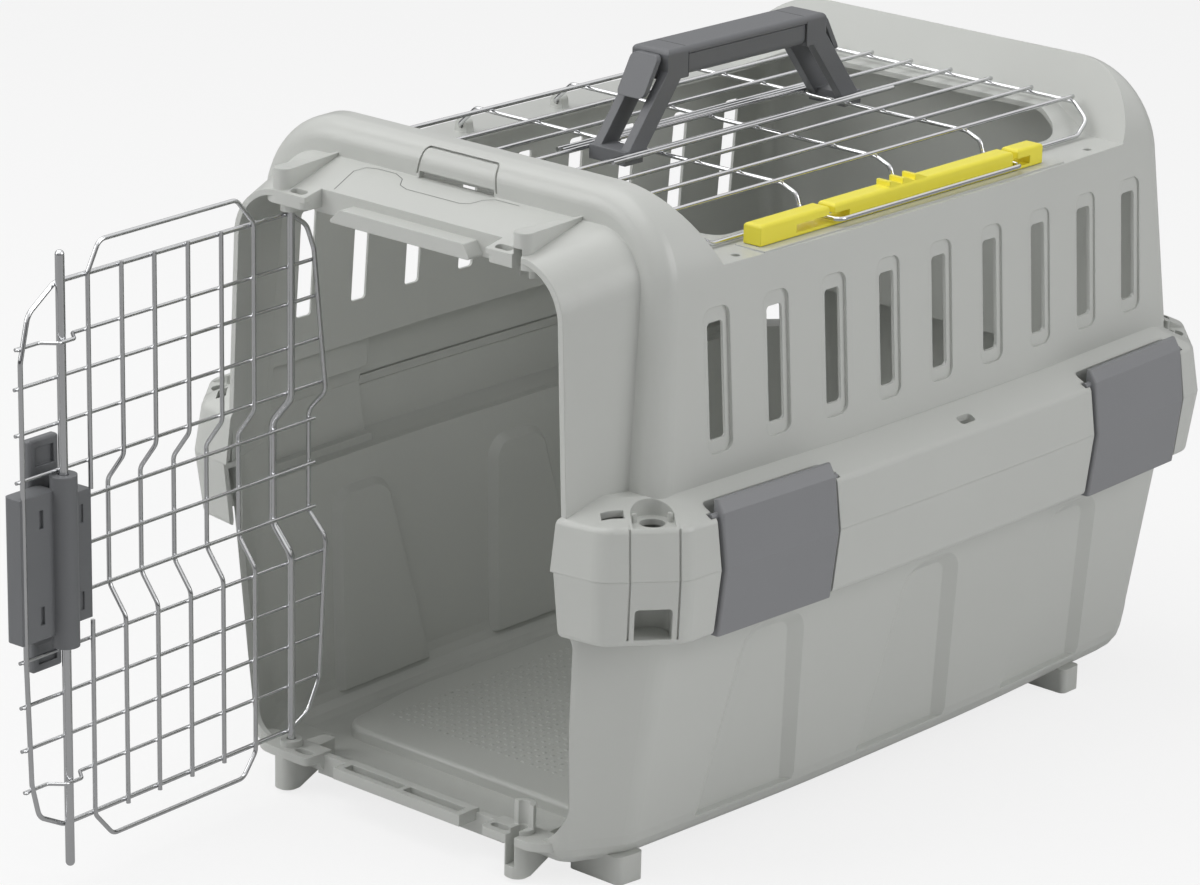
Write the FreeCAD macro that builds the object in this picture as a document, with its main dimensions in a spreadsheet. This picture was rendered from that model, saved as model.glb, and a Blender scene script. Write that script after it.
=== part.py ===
import FreeCAD, Part
import math
import os

from FreeCAD import Placement, Rotation, Vector

# Sizes in millimetres and degrees
# Belt, block and clip heights count from the parting; hatch heights count from the ledge
SIZES = [
    ("wall", 3.0),
    ("parting_height", 164.0),
    ("belt_half_width", 165.0),
    ("belt_draft", 4.0),
    ("belt_bottom", 33.0),
    ("belt_shoulder", 23.8),
    ("belt_top", 33.0),
    ("belt_slope", 22.0),
    ("belt_round", 3.5),
    ("belt_front", 238.5),
    ("belt_rear", 232.5),
    ("belt_bow", 5.3),
    ("parting_gap", 1.2),
    ("cup_radius", 10.0),
    ("cup_inset", 12.8),
    ("cup_floor", 24.2),
    ("corner_hole_radius", 6.0),
    ("window_width", 17.5),
    ("window_low", 29.4),
    ("window_high", 14.0),
    ("tub_bottom", 8.0),
    ("tub_half_top", 149.5),
    ("tub_half_bottom", 123.0),
    ("tub_front_top", 229.5),
    ("tub_front_bottom", 224.0),
    ("tub_round", 17.0),
    ("panel_pitch", 118.5),
    ("panel_depth", 4.0),
    ("slot_pitch", 40.1),
    ("slot_middle", 2.25),
    ("slot_width", 10.8),
    ("slot_low", 215.8),
    ("slot_high", 271.2),
    ("arch_half_low", 144.5),
    ("arch_half_high", 136.0),
    ("arch_shoulder", 286.0),
    ("arch_top", 332.0),
    ("arch_radius", 46.0),
    ("arch_end", 202.0),
    ("arch_tilt", 5.1),
    ("hood_front", 232.5),
    ("hood_half_low", 111.0),
    ("hood_half_high", 105.5),
    ("hood_front_top", 306.0),
    ("hood_rear_top", 316.0),
    ("ledge_side", 296.5),
    ("ledge_middle", 309.0),
    ("hinge_x", -77.0),
    ("hinge_y", -223.0),
    ("lock_distance", 154.0),
    ("door_angle", 86.75),
    ("frame_wire", 2.4),
    ("upright_wire", 2.2),
    ("cross_wire", 1.8),
    ("hinge_rod", 3.8),
    ("lock_rod", 4.4),
    ("rod_offset", 0.7),
    ("rod_travel", 5.0),
    ("bulge", 10.5),
    ("rod_top", 308.0),
    ("rod_bottom", 9.0),
    ("rod_middle_gap", 15.0),
    ("latch_middle", 160.5),
    ("latch_height", 70.0),
    ("latch_depth", 11.0),
    ("ridge_height", 83.0),
    ("ridge_radius", 6.4),
    ("tab_width", 19.0),
    ("tab_length", 41.0),
    ("tab_thick", 5.0),
    ("clip_width", 78.0),
    ("clip_middle", 141.0),
    ("clip_pivot_x", 6.2),
    ("clip_pivot_z", 24.6),
    ("clip_pin", 3.0),
    ("clip_gap", 2.0),
    ("clip_catch", 3.4),
    ("pocket_depth", 4.6),
    ("hatch_wire", 2.2),
    ("hatch_height", 17.7),
    ("hatch_middle", 4.0),
    ("hatch_pitch", 26.0),
    ("hatch_left", -92.0),
    ("hatch_front", -150.0),
    ("hatch_rear", 161.0),
    ("hatch_hinge_x", -116.0),
    ("hatch_hinge_z", 3.7),
    ("rib_middle", 3.0),
    ("rib_pitch", 71.0),
    ("handle_half_width", 11.6),
    ("handle_top", 46.3),
    ("grip_bottom", 31.3),
    ("grip_half_length", 60.0),
    ("leg_foot", 83.0),
    ("slider_x", 115.6),
    ("slider_width", 10.4),
    ("slider_base", 1.2),
    ("slider_top", 11.1),
    ("slider_front", -120.0),
    ("slider_rear", 96.0),
    ("slider_grip", -14.0),
]

doc = FreeCAD.newDocument("PetCarrier")
sheet = doc.addObject("Spreadsheet::Sheet", "Sizes")
for row, (alias, number) in enumerate(SIZES, 1):
    sheet.set("A%d" % row, alias)
    sheet.set("B%d" % row, str(number))
    sheet.setAlias("B%d" % row, alias)
doc.recompute()


def size(alias):
    return float(sheet.get(alias))


# Outlines, lofts and wires
def outline(points, place):
    corners = []
    count = len(points)
    for index in range(count):
        ax, ay, radius = points[index]
        px, py = points[index - 1][:2]
        qx, qy = points[(index + 1) % count][:2]
        if radius <= 0:
            corners.append(((ax, ay), None, (ax, ay)))
            continue
        back = Vector(px - ax, py - ay, 0).normalize()
        ahead = Vector(qx - ax, qy - ay, 0).normalize()
        half = back.getAngle(ahead) / 2
        reach = radius / math.tan(half)
        toward = (back + ahead).normalize()
        depth = radius / math.sin(half) - radius
        corners.append((
            (ax + back.x * reach, ay + back.y * reach),
            (ax + toward.x * depth, ay + toward.y * depth),
            (ax + ahead.x * reach, ay + ahead.y * reach)))
    edges = []
    for index in range(count):
        start, middle, end = corners[index]
        if middle is not None:
            edges.append(Part.Arc(place(*start), place(*middle), place(*end)).toShape())
        following = corners[(index + 1) % count][0]
        if math.dist(end, following) > 1e-6:
            edges.append(Part.makeLine(place(*end), place(*following)))
    return Part.Wire(edges)


def plan(z):
    return lambda a, b: Vector(a, b, z)


def section(y):
    return lambda a, b: Vector(a, y, b)


def profile(x):
    return lambda a, b: Vector(x, a, b)


def loft(*wires):
    return Part.makeLoft(list(wires), True, True)


def prism(points, place, along):
    return Part.Face(outline(points, place)).extrude(along)


def block(x0, x1, y0, y1, z0, z1):
    return Part.makeBox(x1 - x0, y1 - y0, z1 - z0, Vector(x0, y0, z0))


def rod(radius, start, end):
    return Part.makeCylinder(radius, (end - start).Length, start, end - start)


def mirrored(shape, normal):
    return shape.mirror(Vector(0, 0, 0), normal)


X_AXIS = Vector(1, 0, 0)
Y_AXIS = Vector(0, 1, 0)
Z_AXIS = Vector(0, 0, 1)


def both_sides(shape):
    return [shape, mirrored(shape, X_AXIS)]


def wire_path(points, bend):
    edges = []
    last = points[0]
    for index in range(1, len(points) - 1):
        corner = points[index]
        back = points[index - 1] - corner
        ahead = points[index + 1] - corner
        angle = back.getAngle(ahead)
        if angle > math.pi - 0.02:
            edges.append(Part.makeLine(last, corner))
            last = corner
            continue
        reach = min(bend / math.tan(angle / 2), 0.49 * back.Length, 0.49 * ahead.Length)
        back.normalize()
        ahead.normalize()
        start = corner + back * reach
        end = corner + ahead * reach
        radius = reach * math.tan(angle / 2)
        toward = (back + ahead).normalize()
        middle = corner + toward * (radius / math.sin(angle / 2) - radius)
        if (start - last).Length > 1e-6:
            edges.append(Part.makeLine(last, start))
        edges.append(Part.Arc(start, middle, end).toShape())
        last = end
    edges.append(Part.makeLine(last, points[-1]))
    return Part.Wire(edges)


def bent_wire(diameter, points, bend=6.0):
    path = wire_path(points, bend)
    ahead = points[1] - points[0]
    ring = Part.Wire(Part.makeCircle(diameter / 2, points[0], ahead))
    return path.makePipeShell([ring], True, True)


def closed_wire(diameter, points, bend):
    half = len(points) // 2
    first = points[:half + 1]
    second = points[half:] + points[:1]
    return bent_wire(diameter, first, bend).fuse(bent_wire(diameter, second, bend)).removeSplitter()


# Outlines of the belt, the tub and the arch
def belt_outline(inset, z):
    front, rear = size("belt_front"), size("belt_rear")
    wide = size("belt_half_width")
    side = wide - inset
    bow = side - size("belt_bow")
    edge = wide - 59.0
    right = [
        (edge, inset - front, 0), (wide - 32.5 - 0.5 * inset, inset + 3.7 - front, 12),
        (bow - 0.3, 0.6 * inset + 35.5 - front, 12), (side, -70.0, 1400), (side, 70.0, 1400),
        (bow, rear - 36.3 - 0.6 * inset, 12), (wide - 37.2 - 0.5 * inset, rear - 1.8 - inset, 10), (edge, rear - inset, 0)]
    left = [(-a, b, r) for a, b, r in reversed(right)]
    return outline(right + left, plan(z))


def tub_outline(level, inset, z):
    low, high = size("tub_bottom"), size("parting_height")
    share = (level - low) / (high - low)
    side = size("tub_half_bottom") + share * (size("tub_half_top") - size("tub_half_bottom")) - inset
    front = size("tub_front_bottom") + share * (size("tub_front_top") - size("tub_front_bottom")) - inset
    nose = 101.0 + share * 12.5 - 0.45 * inset
    bow = side - size("belt_bow")
    cheek = 194.0 + share * 2.0 - 0.45 * inset
    right = [
        (nose, -front, 8), (bow, -cheek, 16), (side, -70.0, 1400), (side, 70.0, 1400),
        (bow, cheek, 16), (nose, front, 8)]
    left = [(-a, b, r) for a, b, r in reversed(right)]
    return outline(right + left, plan(z))


def arch_outline(low, high, top, radius, inset, y, bottom):
    base, shoulder = size("parting_height"), size("arch_shoulder")
    slope = (high - low) / (shoulder - base)
    foot = low - inset + slope * (bottom - base)
    crown = low - inset + slope * (top - inset - base)
    turn = radius - inset
    points = [(-foot, bottom, 0), (foot, bottom, 0), (crown, top - inset, turn), (-crown, top - inset, turn)]
    return outline(points, section(y))


def wall_at(y, z):
    share = min(1.0, max(0.0, (abs(y) - 65.0) / 125.0))
    slope = (size("arch_half_high") - size("arch_half_low")) / (size("arch_shoulder") - size("parting_height"))
    return size("arch_half_low") + slope * (z - size("parting_height")) - share * size("belt_bow")


def tub_wall_at(y, z):
    share = (z - size("tub_bottom")) / (size("parting_height") - size("tub_bottom"))
    side = size("tub_half_bottom") + share * (size("tub_half_top") - size("tub_half_bottom"))
    bow = min(1.0, max(0.0, (abs(y) - 70.0) / 125.0))
    return side - bow * size("belt_bow")


# Features the two shells share at their corners and clips
class Corner:
    def __init__(self, x, y, angle):
        turn = math.radians(angle)
        self.middle = Vector(x, y, 0)
        self.out = Vector(math.cos(turn), math.sin(turn), 0)
        self.along = Vector(-math.sin(turn), math.cos(turn), 0)

    def point(self, along, out, z):
        return self.middle + self.along * along + self.out * out + Vector(0, 0, z)

    def strip(self, along, width, points):
        start = along - width / 2
        corners = [(a, b, 0) for a, b in points]
        return prism(corners, lambda a, b: self.point(start, a, b), self.along * width)

    def panel(self, points, out, depth):
        return prism(points, lambda a, b: self.point(a, out, b), self.out * depth)

    def column(self, radius, out, z0, z1, along=0.0):
        return rod(radius, self.point(along, out, z0), self.point(along, out, z1))


wide, nose, heel = size("belt_half_width"), size("belt_front"), size("belt_rear")
FRONT_CORNER = Corner(wide - 15.7, 23.3 - nose, -39.6)
REAR_CORNER = Corner(wide - 21.2, 19.1 - heel, -45.0)


def each_corner(make):
    front, rear = make(FRONT_CORNER), make(REAR_CORNER)
    return both_sides(front) + [mirrored(shape, Y_AXIS) for shape in both_sides(rear)]


def clip_places():
    reach = size("clip_middle") - 70.0
    slope = (size("belt_bow") + 0.3) / (size("belt_front") - 105.5)
    turn = math.degrees(math.atan(slope))
    x, z = size("belt_half_width") - slope * reach, size("parting_height")
    places = []
    for side_word, end_word, sign, end in (
            ("right", "front", 1, -1), ("right", "rear", 1, 1), ("left", "front", -1, -1), ("left", "rear", -1, 1)):
        angle = end * turn if sign > 0 else 180.0 - end * turn
        base = Vector(sign * x, end * size("clip_middle"), z)
        places.append(("clip_%s_%s" % (end_word, side_word), Placement(base, Rotation(Z_AXIS, angle))))
    return places


def clip_pocket(grow):
    half = size("clip_width") / 2 + size("clip_gap") + grow
    deep, draft = size("pocket_depth") + grow, size("belt_draft")
    back = size("clip_pivot_x") + 8.2 + grow
    catch = size("clip_catch") + 0.8 + grow - size("belt_bottom")
    low, high = -size("belt_bottom") - 11.0, size("belt_top") + 11.0
    step = size("clip_pivot_z") - 10.5 - grow
    floor = [(8.0, low, 0), (8.0, step + 1.0, 0), (-deep - 2.2, step + 1.0, 0), (-deep - 2.2, step - 1.0, 0),
             (-deep, 0.0, 0), (-deep - draft - 0.2, catch, 0), (-deep - draft - 5.2, catch, 0),
             (-deep - draft - 5.2, low, 0)]
    lower = prism(floor, lambda a, b: Vector(a, -half, b), Vector(0, 2 * half, 0))
    plan_points = [(-back, -half, 3 + grow), (8.0, -half, 0), (8.0, half, 0), (-back, half, 3 + grow)]
    upper = prism(plan_points, plan(step), Vector(0, 0, high - step))
    return lower.fuse(upper)


def pin_bore(end):
    half = size("clip_width") / 2 + size("clip_gap")
    radius = size("clip_pin") / 2 + 0.3
    x, z = -size("clip_pivot_x"), size("clip_pivot_z")
    start, stop = sorted((end * (half - 0.4), end * (half + size("wall") + 0.3)))
    hole = rod(radius, Vector(x, start, z), Vector(x, stop, z))
    return hole.fuse(block(x - radius, x + radius, start, stop, z, z + 12.0))


def placed(shape, placement):
    made = shape.copy()
    made.Placement = placement
    return made


def at_clips(shape):
    return [placed(shape, placement) for label, placement in clip_places()]


def rounded(shape, radius, keep):
    edges = [edge for edge in shape.Edges if keep(edge)]
    return shape.makeFillet(radius, edges)


def tub(inset, floor, turn, top):
    wires = []
    for step in range(6):
        angle = math.radians(18.0 * step)
        z = floor + turn * (1 - math.cos(angle))
        wires.append(tub_outline(z, inset + turn * (1 - math.sin(angle)), z))
    return loft(*wires, tub_outline(top, inset, top))


def lower_shell():
    wall, parting, low = size("wall"), size("parting_height"), size("tub_bottom")
    draft, belt_low = size("belt_draft"), parting - size("belt_bottom")
    outer = tub(0.0, low, size("tub_round"), parting)
    inner = tub(wall, low + wall, size("tub_round") - wall, parting + 2.0)
    belt = loft(belt_outline(draft, belt_low), belt_outline(0, parting))
    belt = rounded(belt, size("belt_round"), lambda edge: edge.BoundBox.ZMax < belt_low + 0.01)
    pockets, backs = at_clips(clip_pocket(0.0)), at_clips(clip_pocket(wall))
    under = loft(belt_outline(draft + wall, belt_low - 1), belt_outline(wall, parting - wall))
    cups = each_corner(lambda corner: corner.column(size("cup_radius") + 2.0, -size("cup_inset"), belt_low, parting))
    ends = [block(-200, 200, -260, -178, 90, 190), block(-200, 200, 178, 260, 90, 190)]
    belt = belt.cut([under.common(end).cut(backs + cups) for end in ends])
    hollow = loft(
        belt_outline(draft + wall + 11.0, belt_low + wall), belt_outline(draft + wall, belt_low + wall + 3.5),
        belt_outline(wall + 0.6, parting - 4.6), belt_outline(wall + 2.6, parting - 3.2),
        belt_outline(wall, parting - 0.4), belt_outline(wall, parting + 2.0))
    hollow = hollow.common(block(-200, 200, -178, 178, 90, 190 + wall)).cut(backs)
    panels, kept = [], []
    depth = size("panel_depth")
    panel_top = belt_low - 19.0
    lean = math.degrees(math.atan2(size("tub_half_top") - size("tub_half_bottom"), parting - low))
    for step in (-1, 0, 1):
        middle = size("slot_middle") + step * size("panel_pitch")
        for grow, bag in ((0.0, panels), (wall, kept)):
            shapes = []
            for out, wide in ((-depth - grow, grow), (0.0, grow + 6.5), (20.0, grow + 6.5)):
                foot = low + 12.0 - panel_top - grow
                points = [
                    (middle - 29.0 - wide, foot, 0), (middle + 29.0 + wide, foot, 0),
                    (middle + 14.0 + wide, wide, 8.0 + wide), (middle - 14.0 - wide, wide, 8.0 + wide)]
                shapes.append(outline(points, profile(out)))
            made = loft(*shapes)
            made.rotate(Vector(0, 0, 0), Y_AXIS, lean)
            made.translate(Vector(tub_wall_at(middle, panel_top), 0, panel_top))
            turn = {-1: -2.4, 0: 0.0, 1: 2.4}[step]
            made.rotate(Vector(tub_wall_at(middle, panel_top), middle, panel_top), Z_AXIS, turn)
            bag.extend(both_sides(made))
    inner = inner.cut(kept)
    body = outer.fuse(belt).cut([inner, hollow]).cut(panels)
    doorway = prism(
        [(-104.5, 21.0, 24), (104.5, 21.0, 24), (107.5, 84.0, 60), (110.5, belt_low - 5.0, 10),
         (107.8, belt_low + 3.0, 8), (107.8, parting + 16.0, 0), (-107.8, parting + 16.0, 0),
         (-107.8, belt_low + 3.0, 8), (-110.5, belt_low - 5.0, 10), (-107.5, 84.0, 60)],
        section(-260.0), Vector(0, 46.0, 0))
    body = body.cut(doorway)
    adds, cuts = [], []
    cuts.append(block(-58.0, 58.0, -250.0, -219.3, -5.0, 40.0))
    adds.append(block(-62.0, 62.0, -219.3, -215.5, low + 3.0, 21.5))
    lip = block(-40.0, 44.0, -231.0, -217.0, 17.6, 23.4)
    sockets = [block(-36.0, 0.5, -227.5, -222.0, 19.2, 30.0), block(3.5, 40.0, -227.5, -222.0, 19.2, 30.0)]
    adds.append(lip.cut(sockets))
    shelf = prism(
        [(58.0, -231.5, 3), (94.0, -231.0, 14), (102.0, -214.0, 4), (58.0, -214.0, 0)],
        plan(18.4), Vector(0, 0, 4.3))
    adds.extend(both_sides(shelf))
    slot = prism([(60.2, -227.6, 2.2), (71.0, -227.6, 2.2), (71.0, -223.0, 2.2), (60.2, -223.0, 2.2)],
                 plan(10.0), Vector(0, 0, 20.0))
    lock_x = size("hinge_x") + size("lock_distance")
    lock_y = size("hinge_y") + size("rod_offset")
    bracket = prism([(lock_x - 6.2, -231.4, 5), (lock_x + 6.2, -231.4, 5), (lock_x + 4.0, -196.0, 2),
                     (lock_x - 4.0, -196.0, 2)], plan(1.6), Vector(0, 0, 18.0))
    slope = prism([(-240.0, -5.0, 0), (-190.0, -5.0, 0), (-190.0, 14.0, 0)], profile(40.0), Vector(80.0, 0, 0))
    adds.extend(both_sides(bracket.cut(slope)))
    adds.append(rod(6.2, Vector(lock_x, lock_y, 16.0), Vector(lock_x, lock_y, 25.0)))
    back = rod(6.2, Vector(lock_x, lock_y, 24.0), Vector(lock_x, lock_y, 37.0))
    back = back.cut(rod(3.4, Vector(lock_x, lock_y, 23.0), Vector(lock_x, lock_y, 40.0)))
    adds.append(back.cut(block(lock_x - 9, lock_x + 9, lock_y - 9, lock_y + 0.6, 20.0, 40.0)))
    pin = Vector(size("hinge_x"), size("hinge_y"), 0)
    adds.append(rod(5.6, pin + Vector(0, 0, 16.0), pin + Vector(0, 0, 26.0)))
    foot = prism([(86.0, -200.0, 3), (118.0, -200.0, 3), (120.0, -184.0, 3), (86.0, -184.0, 3)],
                 plan(0.0), Vector(0, 0, low + 6.0))
    heel = prism([(92.0, 147.0, 3), (120.0, 147.0, 3), (120.0, 161.0, 3), (92.0, 161.0, 3)],
                 plan(0.0), Vector(0, 0, low + 5.0))
    adds.extend(both_sides(foot) + both_sides(heel))
    mat = prism([(-88.0, -176.0, 14), (88.0, -176.0, 14), (98.0, -120.0, 60), (98.0, 186.0, 20), (-98.0, 186.0, 20),
                 (-98.0, -120.0, 60)], plan(low + 1.0), Vector(0, 0, 8.5))
    adds.append(rounded(mat, 2.5, lambda edge: all(abs(v.Z - low - 9.5) < 1e-4 for v in edge.Vertexes)))
    below = prism([(-85.0, -173.0, 11), (85.0, -173.0, 11), (95.0, -120.0, 57), (95.0, 183.0, 17), (-95.0, 183.0, 17),
                   (-95.0, -120.0, 57)], plan(low - 2.0), Vector(0, 0, 8.5))
    cuts.append(below)
    cuts.extend(both_sides(slot))
    cuts.append(rod(2.7, Vector(lock_x, lock_y, 3.2), Vector(lock_x, lock_y, 40.0)))
    cuts.append(block(lock_x - 2.7, lock_x + 2.7, -240.0, lock_y, 7.6, 40.0))
    cuts.append(rod(2.3, pin + Vector(0, 0, 6.0), pin + Vector(0, 0, 40.0)))
    half = size("window_width") / 2
    sill, head = parting - size("window_low"), parting - size("window_high")
    cuts.extend(each_corner(lambda corner: corner.panel(
        [(-half, sill, 0.6), (half, sill, 0.6), (half, head, 2), (-half, head, 2)], -size("cup_inset"), 30.0)))
    cuts.extend(each_corner(lambda corner: corner.column(half, -size("cup_inset"), sill, head)))
    for along in (-11.5, 11.5):
        cuts.extend(each_corner(lambda corner: corner.strip(along, 0.9, [
            (3.0, parting + 2.0), (-1.2, parting + 2.0), (-1.2, parting), (-1.2 - 1.1 * draft, belt_low + 3.5),
            (3.0, belt_low + 3.5)])))
    for y in (-92.0, 57.0):
        reach = tub_wall_at(y, belt_low - 5.0)
        cuts.extend(both_sides(block(reach - 1.5, reach + 30.0, y, y + 14.0, belt_low - 7.0, belt_low - 3.0)))
    cuts.extend(pockets)
    return body.cut(cuts[:1]).fuse(adds).cut(cuts[1:]).removeSplitter()


def upper_shell():
    wall, parting = size("wall"), size("parting_height")
    draft = size("belt_draft")
    low, high, top, radius = (size("arch_" + word) for word in ("half_low", "half_high", "top", "radius"))
    bow, end, tilt = size("belt_bow"), size("arch_end"), size("arch_tilt")

    def arch(inset, bottom):
        wires = []
        for y, thin, lean in ((-end, bow, -1), (-65.0, 0.0, 0), (65.0, 0.0, 0), (end, bow, 1)):
            place = y - inset * lean
            wire = arch_outline(low - thin, high - thin, top, radius, inset, place, bottom)
            wire.rotate(Vector(0, place, 190.0), X_AXIS, tilt * lean)
            wires.append(wire)
        return loft(*wires)

    def soft_arch(inset, bottom):
        def end_edge(edge):
            point = edge.valueAt((edge.FirstParameter + edge.LastParameter) / 2)
            plane = end - inset - math.tan(math.radians(tilt)) * (point.z - 190.0)
            return abs(abs(point.y) - plane) < 0.05 and point.z > parting + 6.0
        return rounded(arch(inset, bottom), 11.0 - inset, end_edge)

    outer = soft_arch(0.0, parting)
    inner = soft_arch(wall, parting - 2.0)

    def saddle(drop, grow):
        side, middle = size("ledge_side") - drop, size("ledge_middle") - drop
        crown = prism(
            [(-170.0, side - 0.5, 0), (-108.0, side + 0.5, 14), (-82.0, middle, 16), (82.0, middle, 16),
             (108.0, side + 0.5, 14), (170.0, side - 0.5, 0), (170.0, 420.0, 0), (-170.0, 420.0, 0)],
            section(-230.0), Vector(0, 460.0, 0))
        span = prism(
            [(-148.3 - grow, 290.0 - drop, 0), (153.6 + grow, 290.0 - drop, 0), (189.5 + grow, 345.0, 0),
             (200.0 + grow, 400.0, 0), (-190.0 - grow, 400.0, 0), (-179.3 - grow, 345.0, 0)],
            profile(-200.0), Vector(400.0, 0, 0))
        return crown.common(span)

    outer = outer.cut(saddle(0.0, 0.0))
    inner = inner.cut(saddle(wall, wall))
    front = size("hood_front")
    hood = loft(hood_outline(0.0, -front), hood_outline(0.0, -176.0))
    throat = loft(hood_outline(wall, -front - 12.0), hood_outline(wall, -170.0))
    shoulder, belt_high = parting + size("belt_shoulder"), parting + size("belt_top")
    slope = size("belt_slope")
    lean = draft * size("belt_shoulder") / size("belt_bottom") + 0.5
    belt = loft(belt_outline(0, parting), belt_outline(lean, shoulder), belt_outline(slope, belt_high))

    def shoulder_edge(edge):
        box = edge.BoundBox
        return abs(box.ZMin - shoulder) < 0.01 and abs(box.ZMax - shoulder) < 0.01

    belt = rounded(belt, size("belt_round"), shoulder_edge)
    pockets, backs = at_clips(clip_pocket(0.0)), at_clips(clip_pocket(wall))
    hollow = loft(belt_outline(wall, parting - 1.0), belt_outline(lean + wall, shoulder - 1.8),
                  belt_outline(slope, belt_high - wall - 0.6))
    gap = parting + size("parting_gap")
    hollow = hollow.fuse(loft(belt_outline(wall - 1.4, parting - 1.0), belt_outline(wall - 1.4, gap)))
    cups = each_corner(lambda corner: corner.column(
        size("cup_radius") + 2.0, -size("cup_inset"), parting + size("cup_floor") - wall, belt_high))
    hollow = hollow.cut(backs + cups)
    ends = [block(-200, 200, -260, -178, 130, 250), block(-200, 200, 178, 260, 130, 250)]
    belt = belt.cut([hollow.common(each) for each in ends])
    beside = hollow.common(block(-200, 200, -178, 178, 130, 250))
    body = outer.fuse([hood, belt]).cut([inner, throat, beside])
    adds, cuts = [], []
    cuts.append(block(-58.0, 58.0, -250.0, -221.2, 280.0, 330.0))
    adds.append(block(-62.0, 62.0, -221.2, -218.0, 296.8, 306.5))
    tab = prism([(-45.0, 296.8, 1), (46.5, 296.8, 1), (42.0, 304.0, 1), (-37.0, 304.0, 1)],
                section(-230.5), Vector(0, 11.0, 0))
    adds.append(tab)
    brow = prism([(58.0, -232.5, 4), (84.0, -232.5, 12), (97.0, -216.0, 6), (97.0, -208.0, 2), (58.0, -208.0, 2)],
                 plan(299.6), Vector(0, 0, 7.0))
    hull = loft(hood_outline(0.4, -front - 0.5), hood_outline(0.4, -176.0))
    adds.extend(both_sides(brow.common(hull)))
    fin = prism([(71.4, -232.2, 4.6), (82.6, -232.2, 4.6), (79.0, -188.0, 0), (78.0, -188.0, 0)],
                plan(302.0), Vector(0, 0, 14.5))
    adds.extend(both_sides(fin))
    lock_x = size("hinge_x") + size("lock_distance")
    lock_y = size("hinge_y") + size("rod_offset")
    pin = Vector(size("hinge_x"), size("hinge_y"), 0)
    adds.append(rod(5.4, Vector(lock_x, lock_y, 294.6), Vector(lock_x, lock_y, 303.0)))
    adds.append(rod(5.0, pin + Vector(0, 0, 294.6), pin + Vector(0, 0, 303.0)))
    cuts.append(rod(2.7, Vector(lock_x, lock_y, 280.0), Vector(lock_x, lock_y, 313.6)))
    cuts.append(block(lock_x - 2.7, lock_x + 2.7, -240.0, lock_y, 280.0, 309.2))
    cuts.append(rod(2.3, pin + Vector(0, 0, 280.0), pin + Vector(0, 0, 305.0)))
    slot = prism([(61.0, -230.6, 2.2), (71.0, -230.6, 2.2), (71.0, -226.2, 2.2), (61.0, -226.2, 2.2)],
                 plan(290.0), Vector(0, 0, 30.0))
    cuts.extend(both_sides(slot))
    cuts.append(prism([(-104.0, -142.0, 26), (104.0, -142.0, 26), (104.0, 152.0, 26), (-104.0, 152.0, 26)],
                      plan(270.0), Vector(0, 0, 80.0)))
    flap = prism([(-26.0, 316.6, 0), (26.0, 316.6, 0), (23.5, 329.6, 3), (-23.5, 329.6, 3)],
                 section(-215.0), Vector(0, 45.0, 0))
    inside = prism([(-25.2, 315.0, 0), (25.2, 315.0, 0), (22.7, 328.8, 2.2), (-22.7, 328.8, 2.2)],
                   section(-216.0), Vector(0, 47.0, 0))
    cuts.append(flap.cut([inside, soft_arch(1.0, parting)]))
    cuts.append(block(-24.0, 24.0, -205.0, -178.0, 314.6, 318.0))
    for side in (-1, 1):
        for count in range(-4, 5):
            middle = size("slot_middle") + count * size("slot_pitch")
            half = size("slot_width") / 2
            hole = prism([(middle - half, size("slot_low"), 2), (middle + half, size("slot_low"), 2),
                          (middle + half, size("slot_high"), 2), (middle - half, size("slot_high"), 2)],
                         profile(side * 110.0), Vector(side * 50.0, 0, 0))
            flute = prism([(middle - half - 3.2, -34.0, 5), (middle + half + 3.2, -34.0, 5),
                           (middle + half + 3.2, 35.0, 5), (middle - half - 3.2, 35.0, 5)],
                          profile(-1.3), Vector(12.0, 0, 0))
            flute.rotate(Vector(0, 0, 0), Y_AXIS, -4.0)
            flute.translate(Vector(wall_at(middle, 243.5), 0, 243.5))
            cuts.append(hole)
            cuts.append(flute if side > 0 else mirrored(flute, X_AXIS))
    cup_z = parting + size("cup_floor")
    inset = size("cup_inset")
    cuts.extend(each_corner(lambda corner: corner.column(size("cup_radius"), -inset, cup_z, belt_high)))
    cuts.extend(each_corner(lambda corner: corner.strip(
        0.0, 2 * size("cup_radius"), [(-inset, cup_z), (6.0, cup_z), (6.0, belt_high), (-inset, belt_high)])))
    cuts.extend(each_corner(lambda corner: corner.column(
        size("corner_hole_radius"), 0.6 - inset, cup_z - 8.0, belt_high)))
    cuts.extend(each_corner(lambda corner: corner.panel(
        [(-23.5, shoulder - 12.0, 0), (-13.0, shoulder - 12.0, 0), (-13.0, belt_high, 0), (-23.5, belt_high, 0)],
        -16.0, 4.8)))
    for along in (-11.5, 11.5):
        cuts.extend(each_corner(lambda corner: corner.strip(along, 0.9, [
            (3.0, parting - 2.0), (-1.2, parting - 2.0), (-1.2, parting), (-1.2 - 1.1 * lean, shoulder),
            (-9.0, shoulder + 2.4), (3.0, shoulder + 2.4)])))
    pegs = []
    for along in (-8.2, 8.2):
        pegs.extend(each_corner(lambda corner: corner.column(1.1, -inset - 0.5, cup_z - 1.0, cup_z + 4.4, along)))
    for y in (-136.0, 136.0):
        cuts.extend(both_sides(rod(2.2, Vector(124.5, y, 285.0), Vector(124.5, y, 305.0))))
    cuts.extend(both_sides(prism(
        [(wide - 14.0, 1.0, 2), (wide - 9.0, 1.0, 2), (wide - 9.0, 12.0, 2), (wide - 14.0, 12.0, 2)],
        plan(parting + 16.0), Vector(0, 0, 20.0))))
    adds.append(block(113.8, 132.0, -124.0, 106.0, size("ledge_side") - 2.0, size("ledge_side") + 0.9))
    cuts.extend(pockets)
    for end_side in (-1, 1):
        cuts.extend(at_clips(pin_bore(end_side)))
    hinge_x, hinge_z = size("hatch_hinge_x"), size("ledge_side") + size("hatch_hinge_z")
    for step in (-1, 0, 1):
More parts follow.
